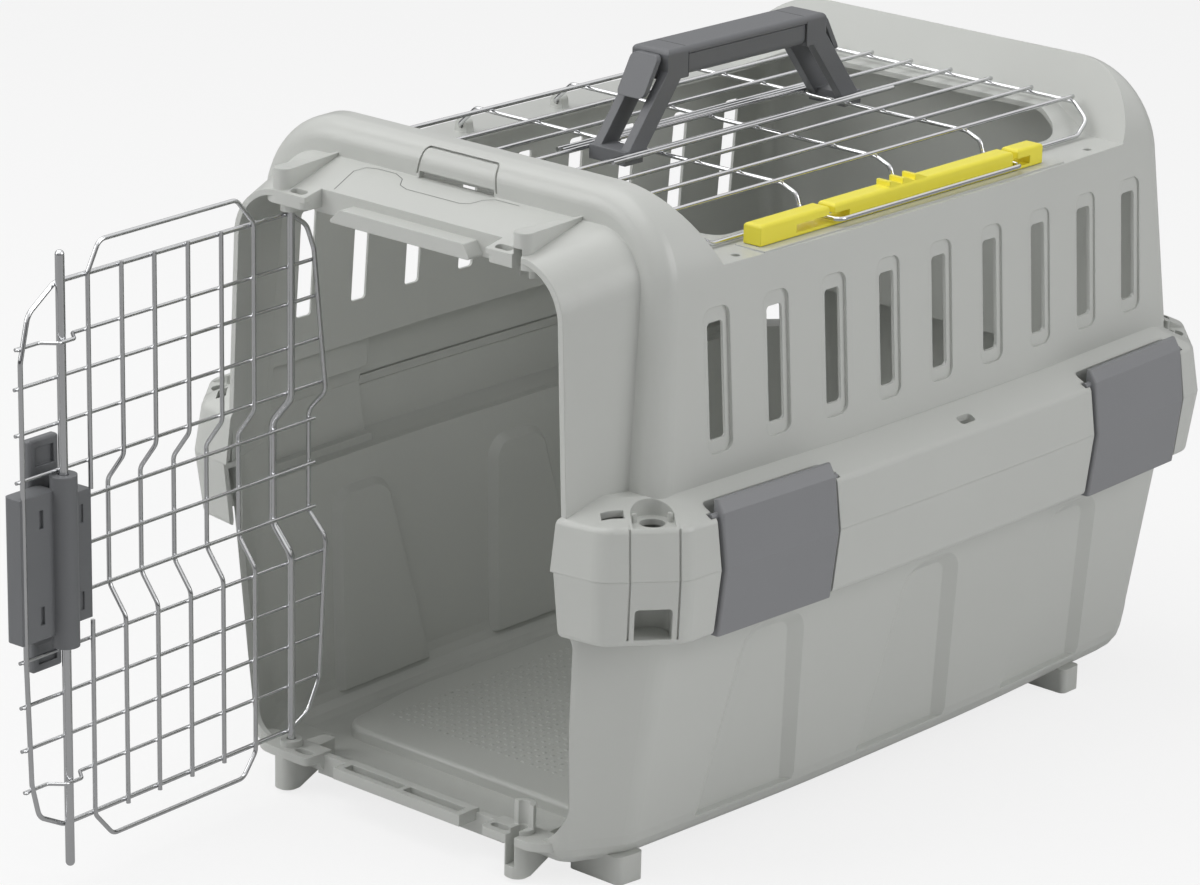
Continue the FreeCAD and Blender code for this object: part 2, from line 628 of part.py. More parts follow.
        y = size("rib_middle") + step * size("rib_pitch") + 2.6
        base = size("ledge_side") - 2.0
        adds.append(prism([(hinge_x - 5.0, base, 0), (hinge_x + 5.0, base, 0), (hinge_x + 3.2, hinge_z + 3.2, 2.5),
                           (hinge_x - 3.2, hinge_z + 3.2, 2.5)], section(y), Vector(0, 5.0, 0)))
        cuts.append(rod(1.5, Vector(hinge_x, y - 8.0, hinge_z), Vector(hinge_x, y + 10.0, hinge_z)))
    return body.cut(cuts[:1]).fuse(adds).cut(cuts[1:]).fuse(pegs).removeSplitter()


def hood_outline(inset, y):
    share = (y + size("hood_front")) / 46.5
    low = size("hood_half_low") + share * 16.0
    high = size("hood_half_high") + share * 14.0
    top = size("hood_front_top") + share * (size("hood_rear_top") - size("hood_front_top"))
    base, shoulder = size("parting_height"), size("arch_shoulder")
    bottom = base - (2.0 if inset > 0.5 else 0.0)
    slope = (high - low) / (shoulder - base)
    foot = low - inset + slope * (bottom - base)
    crown = low - inset + slope * (top - inset - base)
    turn = 28.0 - inset
    points = [(-foot, bottom, 0), (foot, bottom, 0), (crown, top - inset, turn), (-crown, top - inset, turn)]
    return outline(points, section(y))


# Bound primitives
def bind(thing, name, value):
    if isinstance(value, str):
        thing.setExpression(name, value)
    elif "." in name:
        thing.setExpression(name, repr(value))
    else:
        setattr(thing, name, value)


def new_box(name, x, y, z, length, width, height):
    made = doc.addObject("Part::Box", name)
    for word, value in (("Length", length), ("Width", width), ("Height", height),
                        ("Placement.Base.x", x), ("Placement.Base.y", y), ("Placement.Base.z", z)):
        bind(made, word, value)
    return made


def new_cylinder(name, x, y, z, radius, height):
    made = doc.addObject("Part::Cylinder", name)
    for word, value in (("Radius", radius), ("Height", height),
                        ("Placement.Base.x", x), ("Placement.Base.y", y), ("Placement.Base.z", z)):
        bind(made, word, value)
    return made


def new_sphere(name, x, y, z, radius):
    made = doc.addObject("Part::Sphere", name)
    for word, value in (("Radius", radius), ("Placement.Base.x", x), ("Placement.Base.y", y), ("Placement.Base.z", z)):
        bind(made, word, value)
    return made


def joined(name, shapes):
    made = doc.addObject("Part::MultiFuse", name)
    made.Shapes = shapes
    made.Refine = True
    return made


def cut_from(name, base, tool):
    made = doc.addObject("Part::Cut", name)
    made.Base = base
    made.Tool = tool
    made.Refine = True
    return made


def softened(name, base, radius, keep):
    doc.recompute()
    made = doc.addObject("Part::Fillet", name)
    made.Base = base
    made.Edges = [(place, radius, radius) for place, edge in enumerate(base.Shape.Edges, 1) if keep(edge)]
    return made


def named(thing, label, placement=None):
    thing.Label = label
    if placement is not None:
        thing.Placement = placement
    nodes.append(thing)
    return thing


def add_shape(label, shape, placement=None):
    feature = doc.addObject("Part::Feature", label)
    feature.Shape = shape
    return named(feature, label, placement if placement is not None else Placement())


nodes = []

# The two shells
add_shape("lower_shell", lower_shell())
add_shape("upper_shell", upper_shell())


# The four clips
def clip(label, placement):
    draft, drop, rise = size("belt_draft"), size("belt_bottom"), size("clip_pivot_z")
    deep = size("pocket_depth") - 0.7
    tail, catch = drop + 0.8, size("clip_catch") - drop
    sketch = doc.addObject("Part::Polygon", label + "_outline")
    points = [(1.3, 0.0), (-2.0, rise + 1.6), (-5.6, rise + 7.4), (-7.8, rise + 7.4), (-7.8, rise + 2.0),
              (-7.0, rise - 4.0), (-deep - 1.8, 12.0), (-deep, 0.0), (-deep - draft + 0.1, catch),
              (-deep - draft - 4.0, catch), (-deep - draft - 4.0, -tail), (1.0 - draft, -tail),
              (1.3 - draft, 1.0 - drop)]
    sketch.Nodes = [Vector(a, 0, b) for a, b in points]
    sketch.Close = True
    plate = doc.addObject("Part::Extrusion", label + "_plate")
    plate.Base = sketch
    plate.DirMode = "Custom"
    plate.Dir = Y_AXIS
    plate.Symmetric = True
    plate.Solid = True
    plate.setExpression("LengthFwd", "Sizes.clip_width")
    pin = doc.addObject("Part::Cylinder", label + "_pin")
    pin.setExpression("Radius", "Sizes.clip_pin / 2")
    pin.setExpression("Height", "Sizes.clip_width + 2 * Sizes.clip_gap + 4")
    pin.Placement = Placement(Vector(0, 0, 0), Rotation(X_AXIS, -90))
    pin.setExpression("Placement.Base.x", "-Sizes.clip_pivot_x")
    pin.setExpression("Placement.Base.y", "-Sizes.clip_width / 2 - Sizes.clip_gap - 2")
    pin.setExpression("Placement.Base.z", "Sizes.clip_pivot_z")
    whole = joined(label + "_whole", [plate, pin])
    soft = softened(label, whole, 1.4, clip_edge)
    return named(soft, label, placement)


def clip_edge(edge):
    ends = [v.Point for v in edge.Vertexes]
    if len(ends) != 2 or edge.Length < 5.0:
        return False
    flank = abs(ends[0].y - ends[1].y) < 1e-4
    return flank and all(p.x > -size("belt_draft") - 2.0 and p.z > -size("belt_bottom") for p in ends)


for label, placement in clip_places():
    clip(label, placement)

# The wire door, drawn shut along its hinge and turned open by its placement
door_place = Placement(Vector(size("hinge_x"), size("hinge_y"), 0), Rotation(Z_AXIS, -size("door_angle")))
upright_offset = -0.7
frame_radius, upright_radius = size("frame_wire") / 2, size("upright_wire") / 2
cross_radius, hinge_radius = size("cross_wire") / 2, size("hinge_rod") / 2
weld = 0.05
cross_offset = upright_offset - upright_radius - cross_radius + weld
side_offset = cross_offset + frame_radius + cross_radius - weld
top_offset = upright_offset - upright_radius - frame_radius + weld
bulge_offset = upright_offset - size("bulge")
middle_offset = bulge_offset + upright_radius + cross_radius - weld
side_bulge = middle_offset - frame_radius - cross_radius + weld
hinge_bulge = middle_offset - hinge_radius - cross_radius + weld
JOG = (201.0, 187.0, 135.5, 121.5)


def jogged(u, low, high, flat, out):
    return [Vector(u, flat, high), Vector(u, flat, JOG[0]), Vector(u, out, JOG[1]), Vector(u, out, JOG[2]),
            Vector(u, flat, JOG[3]), Vector(u, flat, low)]


frame_points = [
    Vector(178.5, side_offset, 160.0), Vector(178.5, side_offset, 260.0), Vector(172.0, side_offset - 1.2, 281.0),
    Vector(154.0, top_offset, 292.0), Vector(-2.0, top_offset, 292.0), Vector(-13.0, side_offset - 1.2, 284.5),
    Vector(-17.0, side_offset, 272.0), Vector(-25.5, side_offset, JOG[0] - 2.5), Vector(-25.0, side_bulge, JOG[1]),
    Vector(-25.0, side_bulge, JOG[2]), Vector(-25.5, side_offset, JOG[3] + 2.5), Vector(-21.0, side_offset, 52.0),
    Vector(-14.0, side_offset - 1.2, 36.0), Vector(-2.0, top_offset, 29.0), Vector(154.0, top_offset, 29.0),
    Vector(171.0, side_offset - 1.2, 38.0), Vector(176.5, side_offset, 56.0), Vector(178.5, side_offset, 118.0)]
add_shape("door_frame_wire", closed_wire(size("frame_wire"), frame_points, 9.0), door_place)

loop_points = [
    Vector(135.2, upright_offset, 190.0), Vector(135.2, upright_offset, 293.0), Vector(127.5, upright_offset, 306.8),
    Vector(37.0, upright_offset, 306.8), Vector(25.0, upright_offset, 293.5)]
loop_points += [Vector(25.0, p.y, p.z) for p in jogged(25.0, 26.5, 250.0, upright_offset, bulge_offset)[1:]]
loop_points += [
    Vector(34.0, upright_offset, 15.2), Vector(124.0, upright_offset, 15.2), Vector(135.6, upright_offset, 28.5),
    Vector(135.2, upright_offset, 126.0)]
add_shape("door_loop_wire", bent_wire(size("upright_wire"), loop_points, 6.0), door_place)

uprights = [bent_wire(size("upright_wire"), jogged(u, 27.4, 293.6, upright_offset, bulge_offset), 7.0)
            for u in (113.5, 92.0, 69.7, 47.3)]
add_shape("door_upright_wires", Part.makeCompound(uprights), door_place)

hinge_points = jogged(0.0, 8.0, 303.0, 0.0, hinge_bulge)
add_shape("door_hinge_rod", bent_wire(size("hinge_rod"), hinge_points, 9.0), door_place)


def frame_edge(z):
    for upper, lower in zip(frame_points[6:11], frame_points[7:12]):
        if lower.z <= z <= upper.z:
            share = (z - lower.z) / (upper.z - lower.z)
            return lower.x + share * (upper.x - lower.x)
    return frame_points[11].x


def guide(z):
    lock, near = size("lock_distance"), 4.2
    flat = cross_offset - 0.04
    return [Vector(179.5, flat, z), Vector(lock + 10.5, flat, z), Vector(lock + 5.0, near, z),
            Vector(lock - 5.0, near, z), Vector(lock - 10.5, flat, z), Vector(frame_edge(z) - 2.0, flat, z)]


crossings = [bent_wire(size("cross_wire"), guide(z), 2.5) for z in (266.0, 52.5)]
for z in (247.5, 225.7, 203.4, 116.6, 94.6, 73.3):
    crossings.append(rod(cross_radius, Vector(frame_edge(z) - 2.0, cross_offset, z), Vector(180.7, cross_offset, z)))
add_shape("door_cross_wires", Part.makeCompound(crossings), door_place)

middles = [rod(cross_radius, Vector(-27.0, middle_offset, z), Vector(135.4, middle_offset, z)) for z in (182.6, 160.0, 137.4)]
add_shape("door_middle_wires", Part.makeCompound(middles), door_place)

# The squeeze latch and its two lock rods
middle_z = "Sizes.latch_middle"
left_plate = new_box("latch_left", 160.0, "-Sizes.latch_depth", middle_z + " - Sizes.latch_height / 2",
                     21.0, "Sizes.latch_depth", "Sizes.latch_height")
right_plate = new_box("latch_right", 135.4, "-Sizes.latch_depth", middle_z + " - 33", 14.0, "Sizes.latch_depth - 0.6", 63.0)
web = new_box("latch_web", 147.0, "-Sizes.latch_depth", middle_z + " - 34.4", 15.0, "Sizes.latch_depth", 68.8)
ridge = new_cylinder("latch_ridge", "Sizes.lock_distance", "Sizes.rod_offset", middle_z + " - Sizes.ridge_height / 2",
                     "Sizes.ridge_radius", "Sizes.ridge_height")
solid_latch = joined("latch_solid", [left_plate, right_plate, web, ridge])
bore = new_cylinder("latch_bore", "Sizes.lock_distance", "Sizes.rod_offset", 100.0, "Sizes.lock_rod / 2 + 0.3", 120.0)
channel = new_cylinder("latch_channel", 178.5, side_offset, 100.0, "Sizes.frame_wire / 2 + 0.02", 120.0)
upper_run = new_box("latch_upper_run", "Sizes.lock_distance - 3.4", -14.0, middle_z + " + 14", 6.8, "14 + Sizes.rod_offset", 21.5)
lower_run = new_box("latch_lower_run", "Sizes.lock_distance - 3.4", -14.0, middle_z + " - 35.5", 6.8, "14 + Sizes.rod_offset", 21.5)
dimples = [new_box("latch_dimple_%d" % n, x, -1.6, z, 2.6, 4.0, 9.0)
           for n, (x, z) in enumerate(((166.5, 179.0), (166.5, 132.5), (140.5, 175.0), (140.5, 132.5)))]
hollows = joined("latch_hollows", [bore, channel, upper_run, lower_run] + dimples)


def latch_edge(edge):
    ends = [v.Point for v in edge.Vertexes]
    return len(ends) == 2 and all(abs(p.x - 181.0) < 1e-3 and p.y < -1.0 for p in ends) and edge.Length > 30.0


soft_latch = softened("latch_soft", solid_latch, 3.0, latch_edge)
named(cut_from("latch_housing", soft_latch, hollows), "latch_housing", door_place)

for word, sign in (("upper", 1), ("lower", -1)):
    tip = "Sizes.rod_top" if sign > 0 else "Sizes.rod_bottom"
    start = "Sizes.latch_middle + %r * Sizes.rod_middle_gap" % sign
    low = start if sign > 0 else tip + " + 2.2"
    length = "(%s - 2.2) - (%s)" % (tip, start) if sign > 0 else "(%s) - (%s + 2.2)" % (start, tip)
    shaft = new_cylinder("rod_shaft_" + word, "Sizes.lock_distance", "Sizes.rod_offset", low, "Sizes.lock_rod / 2", length)
    point = new_sphere("rod_point_" + word, "Sizes.lock_distance", "Sizes.rod_offset",
                       tip + (" - 2.2" if sign > 0 else " + 2.2"), "Sizes.lock_rod / 2")
    named(joined("lock_rod_" + word, [shaft, point]), "lock_rod_" + word, door_place)
    base = "Sizes.latch_middle + 15.5" if sign > 0 else "Sizes.latch_middle - 15.5 - Sizes.tab_length"
    pad = new_box("tab_pad_" + word, "Sizes.lock_distance - Sizes.tab_width / 2", "-Sizes.latch_depth - 0.4 - Sizes.tab_thick",
                  base, "Sizes.tab_width", "Sizes.tab_thick", "Sizes.tab_length")
    soft_pad = softened("tab_soft_" + word, pad, 1.5, lambda edge: edge.Length > 4.0)
    arm_low = "Sizes.latch_middle + 18" if sign > 0 else "Sizes.latch_middle - 25"
    arm = new_box("tab_arm_" + word, "Sizes.lock_distance - 3", "-Sizes.latch_depth - 1", arm_low, 6.0,
                  "Sizes.latch_depth + 1 + Sizes.rod_offset", 7.0)
    hole = new_cylinder("tab_hole_" + word, "Sizes.lock_distance", "Sizes.rod_offset", 100.0, "Sizes.lock_rod / 2", 120.0)
    dent_low = "Sizes.latch_middle + 43.5" if sign > 0 else "Sizes.latch_middle - 52.5"
    dent = new_box("tab_dent_" + word, "Sizes.lock_distance - 6", "-Sizes.latch_depth - 2", dent_low, 12.0, 4.0, 9.0)
    both = joined("tab_both_" + word, [soft_pad, arm])
    gone = joined("tab_gone_" + word, [hole, dent])
    named(cut_from("latch_tab_" + word, both, gone), "latch_tab_" + word, door_place)

# The wire hatch in the roof
wire = size("hatch_wire")
ledge = size("ledge_side")
long_z = ledge + size("hatch_height")
rib_z = long_z - wire + 0.1
rim_z = rib_z + wire / 2 - size("frame_wire") / 2
side_x, side_z = size("slider_x") - 5.6, ledge + 2.5
bend_z = 0.55 * side_z + 0.45 * rim_z
run_z = side_z + size("frame_wire") / 2 + wire / 2 - 0.05
left, front, rear = size("hatch_left"), size("hatch_front"), size("hatch_rear")
rim_points = [
    Vector(left, 0.0, long_z), Vector(left, rear - 12.0, long_z), Vector(left + 8.0, rear, rim_z),
    Vector(side_x - 13.0, rear, rim_z), Vector(side_x - 2.5, rear - 3.0, bend_z), Vector(side_x, rear - 14.0, side_z),
    Vector(side_x, 0.0, side_z), Vector(side_x, front + 14.0, side_z), Vector(side_x - 2.5, front + 3.0, bend_z),
    Vector(side_x - 13.0, front, rim_z), Vector(left + 8.0, front, rim_z), Vector(left, front + 12.0, long_z)]
add_shape("hatch_frame_wire", closed_wire(size("frame_wire"), rim_points, 7.0))

rows = [size("hatch_middle") + size("hatch_pitch") * (n + 0.5) for n in range(-3, 4)]
lengthwise = [rod(wire / 2, Vector(x, front - 1.5, long_z), Vector(x, rear + 1.5, long_z)) for x in rows]
add_shape("hatch_long_wires", Part.makeCompound(lengthwise))

hinge = Vector(size("hatch_hinge_x"), 0, ledge + size("hatch_hinge_z"))
rib_rows = [size("rib_middle") + n * size("rib_pitch") for n in (-1, 0, 1)]
ribs = []
for y in rib_rows:
    reach = side_x + (2.0 if y == rib_rows[1] else 8.0)
    ribs.append(bent_wire(wire, [
        hinge + Vector(0, y + 9.0, 0), hinge + Vector(0, y, 0), Vector(-103.0, y, rib_z),
        Vector(side_x - 15.0, y, rib_z), Vector(side_x - 6.0, y, 0.4 * rib_z + 0.6 * run_z + 3.0),
        Vector(side_x - 3.5, y, run_z), Vector(reach, y, run_z)], 4.0))
add_shape("hatch_cross_wires", Part.makeCompound(ribs))

add_shape("hatch_latch_wire", bent_wire(wire, [
    Vector(side_x + 8.0, rib_rows[0], run_z), Vector(side_x + 20.4, rib_rows[0], run_z),
    Vector(side_x + 20.4, rib_rows[2], run_z), Vector(side_x + 8.0, rib_rows[2], run_z)], 4.0))

brace = [rod(wire / 2, Vector(x, -104.0, long_z), Vector(x, 110.0, long_z)) for x in (-15.6, -12.3, 20.3)]
add_shape("hatch_brace_wires", Part.makeCompound(brace))

# The carrying handle on the hatch
centre = "Sizes.hatch_middle"
half = "Sizes.handle_half_width"
hatch_z = "(Sizes.ledge_side + Sizes.hatch_height)"
top, grip_low = "(%s + Sizes.handle_top)" % hatch_z, "(%s + Sizes.grip_bottom)" % hatch_z
grip_half = "Sizes.grip_half_length"
cap = new_box("handle_cap", centre + " - " + half, "-" + grip_half, top + " - 3.4", "2 * " + half, "2 * " + grip_half, 3.4)
end_parts = [cap]
for word, sign in (("front", -1), ("rear", 1)):
    low_y = "-" + grip_half if sign < 0 else grip_half + " - 15"
    end_parts.append(new_box("handle_end_" + word, centre + " - " + half, low_y, grip_low, "2 * " + half, 15.0,
                             top + " - " + grip_low))
    foot_y = "-Sizes.leg_foot - 7" if sign < 0 else "Sizes.leg_foot - 6"
    end_parts.append(new_box("handle_foot_" + word, centre + " - " + half, foot_y, hatch_z + " - 5.4",
                             "2 * " + half, 13.0, 7.0))
    for mark, shift in (("left", "-" + half), ("right", half + " - 5")):
        leg = doc.addObject("Part::Wedge", "handle_leg_%s_%s" % (word, mark))
        leg.Xmin, leg.Xmax, leg.X2min, leg.X2max = 0.0, 5.0, 0.0, 5.0
        leg.Ymin = 0.0
        leg.setExpression("Ymax", "Sizes.handle_top - 8.3")
        low_span, high_span = ((30.0, 43.0), (0.0, 13.0)) if sign < 0 else ((0.0, 13.0), (30.0, 43.0))
        leg.Zmin, leg.Zmax = low_span
        leg.Z2min, leg.Z2max = high_span
        leg.Placement = Placement(Vector(0, 0, 0), Rotation(X_AXIS, 90))
        bind(leg, "Placement.Base.x", centre + " + " + shift)
        bind(leg, "Placement.Base.y", "-Sizes.leg_foot + 36" if sign < 0 else "Sizes.leg_foot + 7")
        bind(leg, "Placement.Base.z", hatch_z + " - 2.2")
        end_parts.append(leg)
bare_handle = joined("handle_bare", end_parts)


def handle_edge(edge):
    ends = [v.Point for v in edge.Vertexes]
    return len(ends) == 2 and all(abs(p.z - long_z - size("handle_top")) < 1e-3 for p in ends)


named(softened("handle_frame", bare_handle, 2.6, handle_edge), "handle_frame")

insert = new_box("handle_block", centre + " - " + half + " + 0.9", "-" + grip_half + " + 15", grip_low + " + 0.4",
                 "2 * (" + half + " - 0.9)", "2 * (" + grip_half + " - 15)", top + " - " + grip_low + " - 4.4")


def insert_edge(edge):
    ends = [v.Point for v in edge.Vertexes]
    return edge.Length > 50.0 and all(p.z < long_z + size("grip_bottom") + 1.0 for p in ends)


named(softened("handle_insert", insert, 3.5, insert_edge), "handle_insert")

flaps = []
for word, sign in (("front", -1), ("rear", 1)):
    flap = doc.addObject("Part::Wedge", "handle_flap_plate_" + word)
    flap.Xmin, flap.Xmax, flap.X2min, flap.X2max = 0.0, 17.0, 0.0, 17.0
    flap.Ymin, flap.Ymax = 0.0, 19.6
    low_span, high_span = ((11.2, 14.4), (0.0, 3.2)) if sign < 0 else ((0.0, 3.2), (11.2, 14.4))
    flap.Zmin, flap.Zmax = low_span
    flap.Z2min, flap.Z2max = high_span
    flap.Placement = Placement(Vector(0, 0, 0), Rotation(X_AXIS, 90))
    bind(flap, "Placement.Base.x", centre + " - 8.5")
    bind(flap, "Placement.Base.y", "-" + grip_half + " - 0.6" if sign < 0 else grip_half + " + 15")
    bind(flap, "Placement.Base.z", top + " - 22")
    soft_flap = softened("handle_flap_soft_" + word, flap, 3.0, lambda edge: abs(edge.Length - 3.2) < 0.01)
    bridge_y = "-" + grip_half + " - 2.6" if sign < 0 else grip_half
    bridge = new_box("handle_flap_bridge_" + word, centre + " - 5", bridge_y, top + " - 8", 10.0, 2.6, 4.4)
    flaps.append(named(joined("handle_flap_" + word, [soft_flap, bridge]), "handle_flap_" + word))

# The sliding lock bar beside the hatch
bar_x, bar_wide = "Sizes.slider_x", "Sizes.slider_width"
bar_low, bar_top = "(Sizes.ledge_side + Sizes.slider_base)", "(Sizes.ledge_side + Sizes.slider_top)"
tall = bar_top + " - " + bar_low
strip = new_box("slider_strip", bar_x, "Sizes.slider_front", bar_low, bar_wide,
                "Sizes.slider_rear - Sizes.slider_front", 1.6)
first_gap = "Sizes.rib_middle - Sizes.rib_pitch"
second_gap = "Sizes.rib_middle + Sizes.rib_pitch"
front_block = new_box("slider_front_block", bar_x, "Sizes.slider_front", bar_low, bar_wide,
                      first_gap + " - 2.2 - Sizes.slider_front", tall)
long_block = new_box("slider_long_block", bar_x, first_gap + " + 2", bar_low, bar_wide,
                     "2 * Sizes.rib_pitch - 4.2", tall)
rear_block = new_box("slider_rear_block", bar_x, second_gap + " + 2", bar_low, bar_wide,
                     "Sizes.slider_rear - (" + second_gap + ") - 2", tall)
soft_blocks = [softened(block.Name + "_soft", block, 1.8, lambda edge: edge.BoundBox.ZMin > ledge + size("slider_base") + 1.0)
               for block in (front_block, long_block, rear_block)]
ribs_on_top = []
for place in range(3):
    rib = doc.addObject("Part::Wedge", "slider_grip_%d" % place)
    rib.Xmin, rib.Xmax, rib.X2min, rib.X2max = 0.0, 8.4, 0.0, 8.4
    rib.Ymin, rib.Ymax, rib.Zmin, rib.Zmax, rib.Z2min, rib.Z2max = 0.0, 3.0, 0.0, 9.6, 7.6, 9.6
    rib.Placement = Placement(Vector(0, 0, 0), Rotation(X_AXIS, 90))
    bind(rib, "Placement.Base.x", bar_x + " + 1")
    bind(rib, "Placement.Base.y", "Sizes.slider_grip + %r" % (9.8 * place))
    bind(rib, "Placement.Base.z", bar_top + " - 0.4")
    ribs_on_top.append(rib)
solid_slider = joined("slider_solid", [strip] + soft_blocks + ribs_on_top)
hollow_low = bar_low + " + 1.6"
slider_hollows = [
    new_box("slider_hollow_front", bar_x + " - 1", first_gap + " - 26", hollow_low, bar_wide + " + 2", 26.0, 3.9),
    new_box("slider_hollow_long", bar_x + " - 1", first_gap, hollow_low, bar_wide + " + 2", 13.0, 3.9),
    new_box("slider_hollow_rear", bar_x + " - 1", second_gap, hollow_low, bar_wide + " + 2", 12.0, 3.9)]
named(cut_from("hatch_slider", solid_slider, joined("slider_hollows", slider_hollows)), "hatch_slider")

# Checks and files
doc.recompute()
for thing in doc.Objects:
    if "Invalid" in thing.State or "Error" in thing.State:
        raise RuntimeError("%s is in state %s" % (thing.Name, thing.State))
os.makedirs("parts", exist_ok=True)
for thing in nodes:
    shape = thing.Shape
    if shape.isNull() or not shape.isValid():
        raise RuntimeError("%s has no sound shape" % thing.Label)
for thing in nodes:
    thing.Shape.exportStep("parts/%s.step" % thing.Label)
    print(thing.Label, len(thing.Shape.Solids), thing.Shape.BoundBox)
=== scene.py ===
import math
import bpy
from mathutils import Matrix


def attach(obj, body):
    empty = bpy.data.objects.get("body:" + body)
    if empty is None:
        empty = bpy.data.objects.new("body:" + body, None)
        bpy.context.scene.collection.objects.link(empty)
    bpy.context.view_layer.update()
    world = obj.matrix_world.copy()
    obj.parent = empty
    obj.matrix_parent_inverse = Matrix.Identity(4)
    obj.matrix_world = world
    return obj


bl_info = {
    "name": "Pet carrier",
    "version": (1, 0, 0),
    "blender": (4, 5, 0),
    "location": "3D View > Sidebar > Carrier",
    "description": "Dresses the packed pet carrier with its finishes and small details and sets its stage",
    "category": "Object",
}

import bmesh
import bpy
from bpy.props import FloatProperty, FloatVectorProperty, PointerProperty
from mathutils import Matrix, Vector

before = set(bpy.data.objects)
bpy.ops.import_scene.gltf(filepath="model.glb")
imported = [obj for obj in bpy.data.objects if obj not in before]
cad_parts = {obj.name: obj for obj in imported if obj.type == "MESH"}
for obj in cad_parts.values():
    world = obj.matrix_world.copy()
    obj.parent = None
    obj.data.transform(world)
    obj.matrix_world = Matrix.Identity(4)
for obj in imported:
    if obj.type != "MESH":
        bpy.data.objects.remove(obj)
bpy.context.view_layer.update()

# The door as it stands open, and the levels of its wires, in metres
DOOR_HINGE = Vector((-0.077, -0.223, 0.0))
DOOR_ANGLE = math.radians(-86.75)
CROSS_LEVELS = (0.266, 0.2475, 0.2257, 0.2034, 0.1166, 0.0946, 0.0733, 0.0525)
MIDDLE_LEVELS = (0.1826, 0.16, 0.1374)
UPRIGHTS = (0.1352, 0.1135, 0.092, 0.0697, 0.0473, 0.025)
DOOR_RIM = 0.1785
WELD_DEPTH = -0.00175
MIDDLE_WELD_DEPTH = -0.0102

# The roof hatch's wires where they cross, in metres
HATCH_ROWS = (-0.061, -0.035, -0.009, 0.017, 0.043, 0.069, 0.095)
HATCH_RIBS = (-0.068, 0.003, 0.074)
HATCH_ENDS = (-0.15, 0.161)
HATCH_WELD_LEVEL = 0.31315

# The raised floor and the field that its studs cover, in metres
FLOOR_LEVEL = 0.0175
FLOOR_FRONT = -0.15
FLOOR_LENGTH = 0.318
FLOOR_WIDTH = 0.164
STUD_CORNERS = ((-1, -1), (1, -1), (1, 1), (-1, 1))
STUD_ROOT = 0.0002
STUD_TAPER = 0.5

# The sloped shelf above the door and the turns of the line on it, in metres
SHELF_FRONT = -0.2325
SHELF_LEVEL = 0.306
SHELF_DEPTH = 0.0465
SHELF_RISE = 0.01
LINE_LIFT = 0.00006
SHELF_LINE = (
    (-0.052, -0.219), (-0.058, -0.2), (-0.055, -0.1945), (-0.049, -0.193), (-0.037, -0.193), (-0.03, -0.196),
    (-0.026, -0.2015), (-0.02, -0.2035), (0.014, -0.2035), (0.019, -0.2015), (0.022, -0.196),
    (0.027, -0.193), (0.042, -0.193))

# The two seams round the handle's grip, in metres
SEAM_PLACES = (-0.0452, 0.0447)
SEAM_WIDTH = 0.0005
SEAM_TOP_SPAN = (-0.0051, 0.0131)
SEAM_TOP_LEVELS = (0.36, 0.36054)
SEAM_SIDES = (-0.00765, 0.01555)
SEAM_SIDE_THICKNESS = 0.0001
SEAM_SIDE_LEVELS = (0.3458, 0.358)

# The camera that took the photograph, in metres
CAMERA_PLACE = Vector((1.43033, -1.70289, 0.88363))
CAMERA_RIGHT = Vector((0.7444, 0.6674, 0.0198))
CAMERA_UP = Vector((-0.2249, 0.2227, 0.9486))
CAMERA_LENS = 138.82


def colour(name, about, default):
    return FloatVectorProperty(
        name=name, description=about, subtype="COLOR", size=4, min=0.0, max=1.0, default=default)


def length(name, about, default):
    return FloatProperty(name=name, description=about, subtype="DISTANCE", unit="LENGTH", default=default)


def factor(name, about, default):
    return FloatProperty(name=name, description=about, subtype="FACTOR", min=0.0, max=1.0, default=default)


def power(name, about, default):
    return FloatProperty(name=name, description=about, unit="POWER", default=default)


class CarrierFinish(bpy.types.PropertyGroup):
    shell: colour("Shell", "Moulded plastic of both shells", (0.6, 0.612, 0.585, 1.0))
    clip: colour("Clips", "Plastic of the side clips", (0.262, 0.266, 0.278, 1.0))
    latch: colour("Latch", "Plastic of the door latch", (0.17, 0.175, 0.183, 1.0))
    handle: colour("Handle", "Plastic of the carrying handle", (0.15, 0.154, 0.163, 1.0))
    slider: colour("Lock bar", "Plastic of the sliding lock bar", (1.0, 0.87, 0.07, 1.0))
    seam: colour("Seams", "Shadowed seams and engraved lines of the mouldings", (0.2, 0.205, 0.2, 1.0))
    wire: colour("Wire", "Bright plating of the wires and rods", (0.66, 0.665, 0.675, 1.0))
    shell_roughness: factor("Shell roughness", "Roughness of the shells' satin face", 0.32)
    wire_roughness: factor("Wire roughness", "Roughness of the plating", 0.11)


class CarrierSizes(bpy.types.PropertyGroup):
    tread_pitch: length("Tread pitch", "Distance between the studs of the floor's tread", 0.0052)
    tread_width: length("Tread stud", "Width of one stud of the floor's tread", 0.0024)
    tread_height: length("Tread height", "Height of one stud of the floor's tread", 0.00035)
    line_width: length("Line width", "Width of the engraved line on the shelf", 0.0005)
    bead_length: length("Weld length", "Half length of a weld bead along its wire", 0.0017)
    bead_width: length("Weld width", "Half width of a weld bead", 0.00085)
    edge_round: length("Edge rounding", "Rounding that the moulded edges show", 0.0007)


class CarrierStage(bpy.types.PropertyGroup):
    floor_size: length("Floor", "Width of the studio floor", 24.0)
    key_power: power("Overhead light", "Power of the overhead softbox", 31.0)
    fill_power: power("Front light", "Power of the softbox in front", 21.0)
    side_power: power("Side light", "Power of the softbox on the right", 18.0)
    ambient: factor("Ambient", "Strength of the light from all round", 0.26)


# Shader groups
def new_group(name, inputs, outputs):
    group = bpy.data.node_groups.new(name, "ShaderNodeTree")
    for label, kind, default in inputs:
        socket = group.interface.new_socket(name=label, in_out="INPUT", socket_type=kind)
        if default is not None:
            socket.default_value = default
    for label, kind in outputs:
        group.interface.new_socket(name=label, in_out="OUTPUT", socket_type=kind)
    return group, group.nodes.new("NodeGroupInput"), group.nodes.new("NodeGroupOutput")


